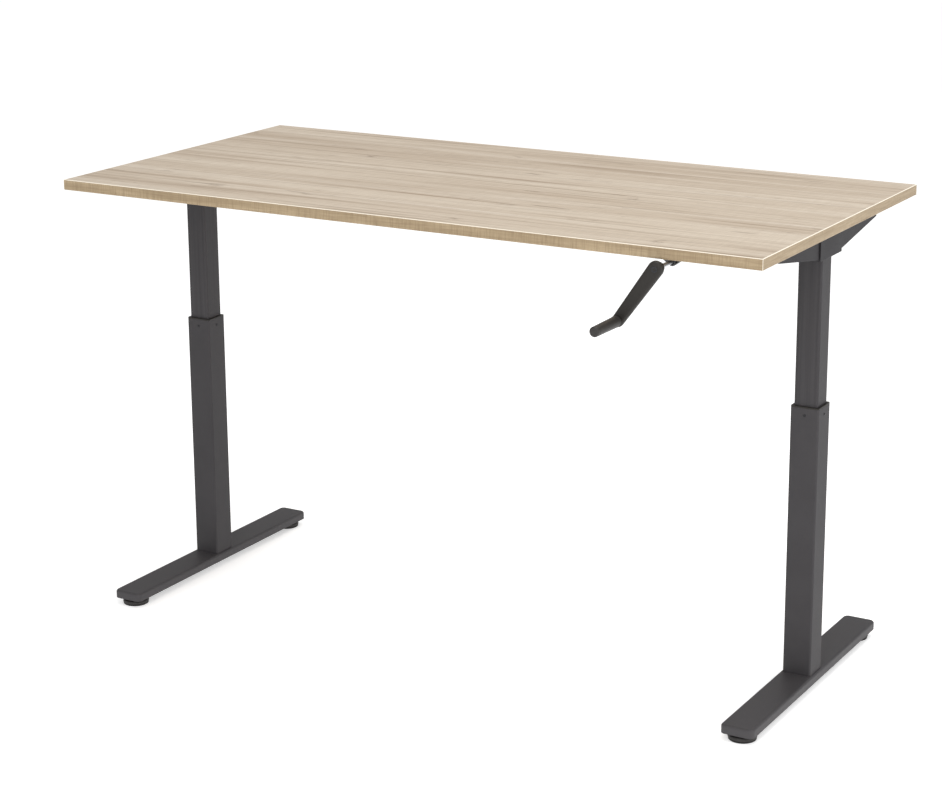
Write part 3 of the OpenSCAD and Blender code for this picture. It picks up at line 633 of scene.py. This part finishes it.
# %% Build the grip's sleeve
grip_steps = 56
pin_bore = 0.0041
bead_edge, body_start = 0.0006, 0.004
grip_centre, grip_half = middle("grip_sleeve")
grip_radius, grip_length = grip_half[0], 2 * grip_half[1]
end_radius = middle("grip_end_cap")[1][0]
body_radius = grip_radius - 0.0003
taper = np.linspace(body_start, grip_length - 0.0006, 14)
swell = body_radius - (body_radius - end_radius) * ((taper - body_start) / grip_length) ** 0.8
sleeve_rows = [(pin_bore, 0), (grip_radius - bead_edge, 0), (grip_radius, bead_edge), (grip_radius, 0.0026),
               (grip_radius - bead_edge, 0.0031), (grip_radius - bead_edge, 0.0036), *zip(swell, taper),
               (end_radius - 0.0005, grip_length), (pin_bore, grip_length), (pin_bore, 0)]
sleeve_place = (elbow[0], grip_centre[1] + grip_half[1], elbow[2])
from_grids("grip_sleeve_turned", [aimed(turned(sleeve_rows, grip_steps), (0, -1, 0), sleeve_place)],
           "grip_sleeve")
print("grip:", round(grip_length * 1e3, 1), "mm long,", round(grip_radius * 1e3, 2), "mm radius")

# %% Build the grip's end cap
plug_radius, plug_depth = 0.0039, 0.004
cap_edge, cap_round = 0.0005, 0.0032
cap_start = grip_centre[1] - grip_half[1]
cap_length = cap_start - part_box("grip_end_cap")[0].y
cap_rows = [(0, -plug_depth), (plug_radius, -plug_depth), (plug_radius, 0.0),
            (end_radius - cap_edge, 0.0), (end_radius, cap_edge),
            *arc((end_radius - cap_round, cap_length - 0.0034), cap_round, 0, 80, 7),
            (end_radius - 0.0045, cap_length - 0.0001), (end_radius - 0.0052, cap_length - 0.0004),
            (end_radius - 0.0059, cap_length - 0.0001), (0.002, cap_length), (0, cap_length)]
cap = aimed(turned(cap_rows, grip_steps), (0, -1, 0), (elbow[0], cap_start, elbow[2]))
from_grids("grip_end_cap_turned", [cap], "grip_end_cap")

# %% [markdown]
# ## Bearing bracket
# The crank rod runs through a glossy moulded block screwed under the desktop. Seen from the front it is
# the hull of a nose round the rod and of its two ends under the top, with soft edges all round. A thin
# raised lip rings the rod where it comes out.

# %% Build the bracket
bracket_low, bracket_high = (np.array(corner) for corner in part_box("crank_bracket"))
nose_radius = hub[2] - bracket_low[2]
end_round, block_edge = 0.0025, 0.0024
wing = (bracket_high[0] - bracket_low[0]) / 2 - end_round
block = hull_slab([(hub[0], hub[2], nose_radius),
                   (hub[0] - wing, bracket_high[2] - end_round, end_round),
                   (hub[0] + wing, bracket_high[2] - end_round, end_round)],
                  bracket_high[1] - bracket_low[1], block_edge)
block = block[..., [0, 2, 1]] + np.array([0, bracket_low[1], 0])
lip_bore, lip_radius, lip_edge, lip_rooted = 0.0043, 0.0066, 0.0005, -0.0004
lip = turned([(lip_bore, lip_rooted), (lip_radius, lip_rooted),
              *arc((lip_radius - lip_edge, 0.0002), lip_edge, 0, 90, 4), (lip_bore, 0.0007),
              (lip_bore, lip_rooted)])
lip = aimed(lip, (0, -1, 0), (hub[0], bracket_low[1], hub[2]))
from_grids("crank_bracket_moulded", [block, lip], "crank_bracket")

# %% [markdown]
# ## Levelling glides
# Each foot stands on moulded glides screwed in from below: a flat disc with a finely ribbed rim for the
# fingers, a neck and a threaded stud, over a dull rubber sole. The ribs are a cosine round the rim, only
# on the rows of the profile that make the rim.

# %% Rib the rim of a glide
rib_count, rib_depth = 36, 0.0004
rim_inside, rim_over = 0.0225, 0.0100


def ribbed(r, h, a):
    """Radius swings by rib_depth round the rim, and stays plain inside it and over it."""
    rim = np.clip((r - rim_inside) / 0.004, 0, 1) * np.clip((rim_over - h) / 0.002, 0, 1)
    return r - rib_depth * rim * (1 - np.cos(rib_count * a)) / 2


print("glide rim has", rib_count, "ribs")

# %% Build glides and soles
glide_neck, stud_crest, stud_root, stud_start = 0.0080, 0.0039, 0.0034, 0.0125
sole_edge, sole_steps = 0.0010, 64


def standing(ending, node, rows, steps=48, shape=None):
    """Turns a profile round the upright axis of a CAD solid, with h 0 at the solid's underside."""
    centre, half = middle(node)
    underside = centre - np.array([0, 0, half[2]])
    from_grids(node + ending, [turned(rows, steps, shape) + underside], node)


for corner in ("front_left", "back_left", "front_right", "back_right"):
    disc, height = middle(corner + "_glide")[1][0], 2 * middle(corner + "_glide")[1][2]
    stud = np.linspace(stud_start, height - 0.001, 15)
    glide_rows = [(0, 0), (disc - 0.0008, 0), (disc, 0.0008), (disc - 0.0004, 0.0045),
                  *arc((disc - 0.0035, 0.0044), 0.0026, 10, 90, 5),
                  (0.0100, 0.0078), (glide_neck, 0.0088), (glide_neck, 0.0114),
                  *[(stud_crest if k % 2 else stud_root, z) for k, z in enumerate(stud)],
                  (0.0030, height), (0, height)]
    standing("_moulded", corner + "_glide", glide_rows, 4 * rib_count, ribbed)
    sole, thick = middle(corner + "_sole")[1][0], 2 * middle(corner + "_sole")[1][2]
    sole_rows = [(0, 0), (sole - sole_edge, 0), *arc((sole - sole_edge, sole_edge), sole_edge, -90, 0, 4),
                 (sole, thick - 0.0005), (sole - 0.0005, thick), (0, thick)]
    standing("_moulded", corner + "_sole", sole_rows, sole_steps)

# %% [markdown]
# ## Spindles, nuts and bearings
# One screw spindle stands in each leg and lifts the desk by 6 mm a turn. The thread is one surface: at
# height h and angle a its radius follows a trapezium of the phase h over lead minus a over a full turn,
# which makes a right-hand helix. The nut is a flanged sleeve, the bearing a pair of races with a groove.

# %% Cut a thread
thread_lead, thread_depth = 0.006, 0.0011
rows_a_lead, thread_steps = 8, 24
plain_radius = 0.0055


def threaded(r, h, a):
    """Trapezium wave between core and crest along a right-hand helix; plain up to plain_radius."""
    phase = np.mod(h / thread_lead - a / (2 * np.pi), 1.0)
    wave = np.clip(2.4 * (0.5 - np.abs(phase - 0.5)) - 0.35, 0, 0.5) * 2
    return np.where(r > plain_radius, r - thread_depth * (1 - wave), r * np.ones_like(a))


print("thread climbs", thread_lead * 1e3, "mm a turn")

# %% The three profiles
spindle_neck = 0.0040
nut_bore, nut_sleeve = 0.00605, 0.010
race_bore, inner_race, outer_race = 0.00405, 0.0066, 0.0104
race_edge, groove_depth = 0.0004, 0.0010


def spindle_rows(crest, length, bearing_low):
    """Up the thread to a plain collar, then the neck that the bearing holds."""
    thread_end, collar = bearing_low - 0.003, crest * 0.92
    climb = np.arange(0.002, thread_end, thread_lead / rows_a_lead)
    return [(0, 0), (0.0045, 0), (0.0049, 0.0015), *[(crest, z) for z in climb], (0.0050, thread_end),
            (collar, thread_end + 0.0005), (collar, bearing_low - 0.0005), (spindle_neck, bearing_low),
            (spindle_neck, length - 0.0005), (0.0035, length), (0, length)]


def nut_rows(flange, length):
    """A sleeve up to half the length, then a wider flange, both with broken edges; back down the bore."""
    step = length / 2
    return [(nut_bore, 0), (nut_sleeve - 0.0004, 0), (nut_sleeve, 0.0004), (nut_sleeve, step),
            (flange - 0.0006, step), (flange, step + 0.0006), (flange, length - 0.0012),
            (flange - 0.0012, length), (0.0070, length), (nut_bore, length - 0.0009), (nut_bore, 0)]


def bearing_rows(ring, length):
    """Inner race, groove and outer race along the underside, then the same again mirrored over the top."""
    under = [(race_bore, 0.0002), (inner_race - race_edge, 0), (inner_race, race_edge),
             (inner_race + 0.0002, groove_depth), (outer_race - 0.0002, groove_depth),
             (outer_race, race_edge), (ring - 0.0005, 0), (ring, 0.0005)]
    return [*under, *[(r, length - h) for r, h in reversed(under)], under[0]]


print("nut runs on the spindle with a bore of", 2e3 * nut_bore, "mm")

# %% Build spindles, nuts and bearings
for side in ("left", "right"):
    spindle, nut, bearing = side + "_spindle", side + "_spindle_nut", side + "_spindle_bearing"
    radius, _, half_length = middle(spindle)[1]
    bearing_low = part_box(bearing)[0].z - (middle(spindle)[0][2] - half_length)
    standing("_cut", spindle, spindle_rows(radius, 2 * half_length, bearing_low), thread_steps, threaded)
    radius, _, half_length = middle(nut)[1]
    standing("_turned", nut, nut_rows(radius, 2 * half_length))
    radius, _, half_length = middle(bearing)[1]
    standing("_turned", bearing, bearing_rows(radius, 2 * half_length))

# %% [markdown]
# ## Bevel gears
# Six equal bevel gears carry the crank's turning round the corners: rod to cross shaft, and cross shaft
# to each spindle. A tooth is a trapezium wave round the gear's cone, cut deeper at the wide end than at
# the tip, because every line of a bevel tooth aims at the point where the two axes cross.

# %% Shape a bevel gear
tooth_count, tooth_steps, tooth_depth = 12, 12, 0.15
mesh_gap = 0.0005


def bevel_gear(bore, wide, tip):
    """Gear whose cone's point is the origin, body on -z: rows run down the bore, out over the back with
    its thin raised ring, up the cone along radius = -z - gap, and in over the tip."""
    back = -wide - mesh_gap
    cone = np.linspace(1, 0, 6)
    slope = np.stack([tip + (wide - tip) * cone, back + (wide - tip) * (1 - cone)], -1)
    rows = [(bore, back + wide - tip), (bore, back), (0.6 * wide, back), (0.62 * wide, back - 0.0008),
            (0.9 * wide, back - 0.0004)]
    cone_from = len(rows)
    rows += [*slope.tolist(), (bore, back + wide - tip)]

    def teeth(r, h, a):
        """Valleys tooth_depth of the radius deep, only on the cone's rows."""
        phase = np.mod(tooth_count * a / (2 * np.pi), 1.0)
        valley = np.clip(3.2 * (0.5 - np.abs(phase - 0.5)) - 0.5, 0, 0.5) * 2
        row = np.arange(len(r))[:, None]
        on_cone = (row >= cone_from) & (row < len(r) - 1)
        return np.where(on_cone, r * (1 - tooth_depth * valley), r * np.ones_like(a))

    return turned(rows, tooth_count * tooth_steps, teeth)


print("gears have", tooth_count, "teeth")

# %% Build the six gears
wide_radius, tip_radius, shaft_radius = middle("left_spindle_gear")[1][0], 0.006, 0.004
gears = [("crank_gear", (0, 1, 0)), ("middle_shaft_gear", (1, 0, 0)), ("left_shaft_gear", (1, 0, 0)),
         ("right_shaft_gear", (1, 0, 0)), ("left_spindle_gear", (0, 0, 1)), ("right_spindle_gear", (0, 0, 1))]
gear = bevel_gear(shaft_radius, wide_radius, tip_radius)
for name, along in gears:
    centre, half = middle(name)
    along = np.array(along, float)
    cone_point = centre + along * (wide_radius + mesh_gap - float(half @ along))
    from_grids(name + "_toothed", [aimed(gear, along, cone_point)], name)

# %% [markdown]
# ## Studio
# The desk stands on a plain pale floor that runs out of sight, in soft light from every side. A white
# surround does most of the work; a large soft panel in front lifts the faces that look at the user, one
# overhead lifts the top and the feet, and a small one at the right lifts the sides of the nearer leg. The
# surround is full white where it is looked at and dimmer as a light, so the floor has no horizon. The floor
# is clear from below, so that the gearboxes, rails and screws under the top can be looked at too.

# %% Hang the light panels
def panel(name, place, target, size, power):
    """A square soft light at a place, facing a target."""
    light = bpy.data.lights.new(name, "AREA")
    light.shape, light.size, light.energy = "SQUARE", size, power
    made = bpy.data.objects.new(name, light)
    made.location = place
    away = np.array(place, float) - np.array(target, float)
    flat = math.hypot(away[0], away[1])
    made.rotation_euler = (math.atan2(flat, away[2]), 0, math.atan2(away[0], -away[1]))
    made.visible_camera = False
    bpy.context.scene.collection.objects.link(made)


panel("key_panel", place=(1.2, -4.8, 3.0), target=(0.2, 0, 0.6), size=3.0, power=90)
panel("top_panel", place=(0.6, 0.3, 4.4), target=(0.2, 0, 0.5), size=3.0, power=85)
panel("side_panel", place=(3.4, -0.7, 1.5), target=(0.75, 0, 0.4), size=1.6, power=26)

# %% Lay the floor
floor_half, floor_drop, floor_glow = 60.0, 0.0002, 0.47
floor_mesh = bpy.data.meshes.new("floor")
floor_corners = [(x * floor_half, y * floor_half, -floor_drop)
                 for x, y in ((-1, -1), (1, -1), (1, 1), (-1, 1))]
floor_mesh.from_pydata(floor_corners, [], [(0, 1, 2, 3)])
floor = bpy.data.objects.new("floor", floor_mesh)
bpy.context.scene.collection.objects.link(floor)
floor_finish, tree, shader = start_finish("pale_floor", Emission_Color=(1, 1, 1, 1),
                                          Emission_Strength=floor_glow)
cloud = noise(tree, (1.5, 1.5, 1.5), 3.0, 0.5)
tree.links.new(mixed(tree, cloud, rgb(240, 240, 240), rgb(246, 246, 246)), shader.inputs["Base Color"])
tree.links.new(remap(tree, cloud, 0.3, 0.7, 0.75, 0.9), shader.inputs["Roughness"])
from_below = add(tree, "ShaderNodeNewGeometry").outputs["Backfacing"]
clear = add(tree, "ShaderNodeBsdfTransparent").outputs[0]
seen = add(tree, "ShaderNodeMixShader", {0: from_below, 1: shader.outputs[0], 2: clear}).outputs[0]
tree.links.new(seen, tree.nodes["Material Output"].inputs["Surface"])
floor_mesh.materials.append(floor_finish)
print("floor is", 2 * floor_half, "m wide")

# %% Make the surround
light_strength, seen_strength = 0.60, 1.0
world = bpy.data.worlds.new("surround")
world.use_nodes = True
surround = world.node_tree.nodes["Background"]
surround.inputs["Color"].default_value = (1, 1, 1, 1)
looked_at = add(world.node_tree, "ShaderNodeLightPath").outputs["Is Camera Ray"]
strength = remap(world.node_tree, looked_at, 0, 1, light_strength, seen_strength)
world.node_tree.links.new(strength, surround.inputs["Strength"])
bpy.context.scene.world = world
bpy.context.scene.view_settings.view_transform = "Standard"
print("surround:", seen_strength, "to look at,", light_strength, "as a light")
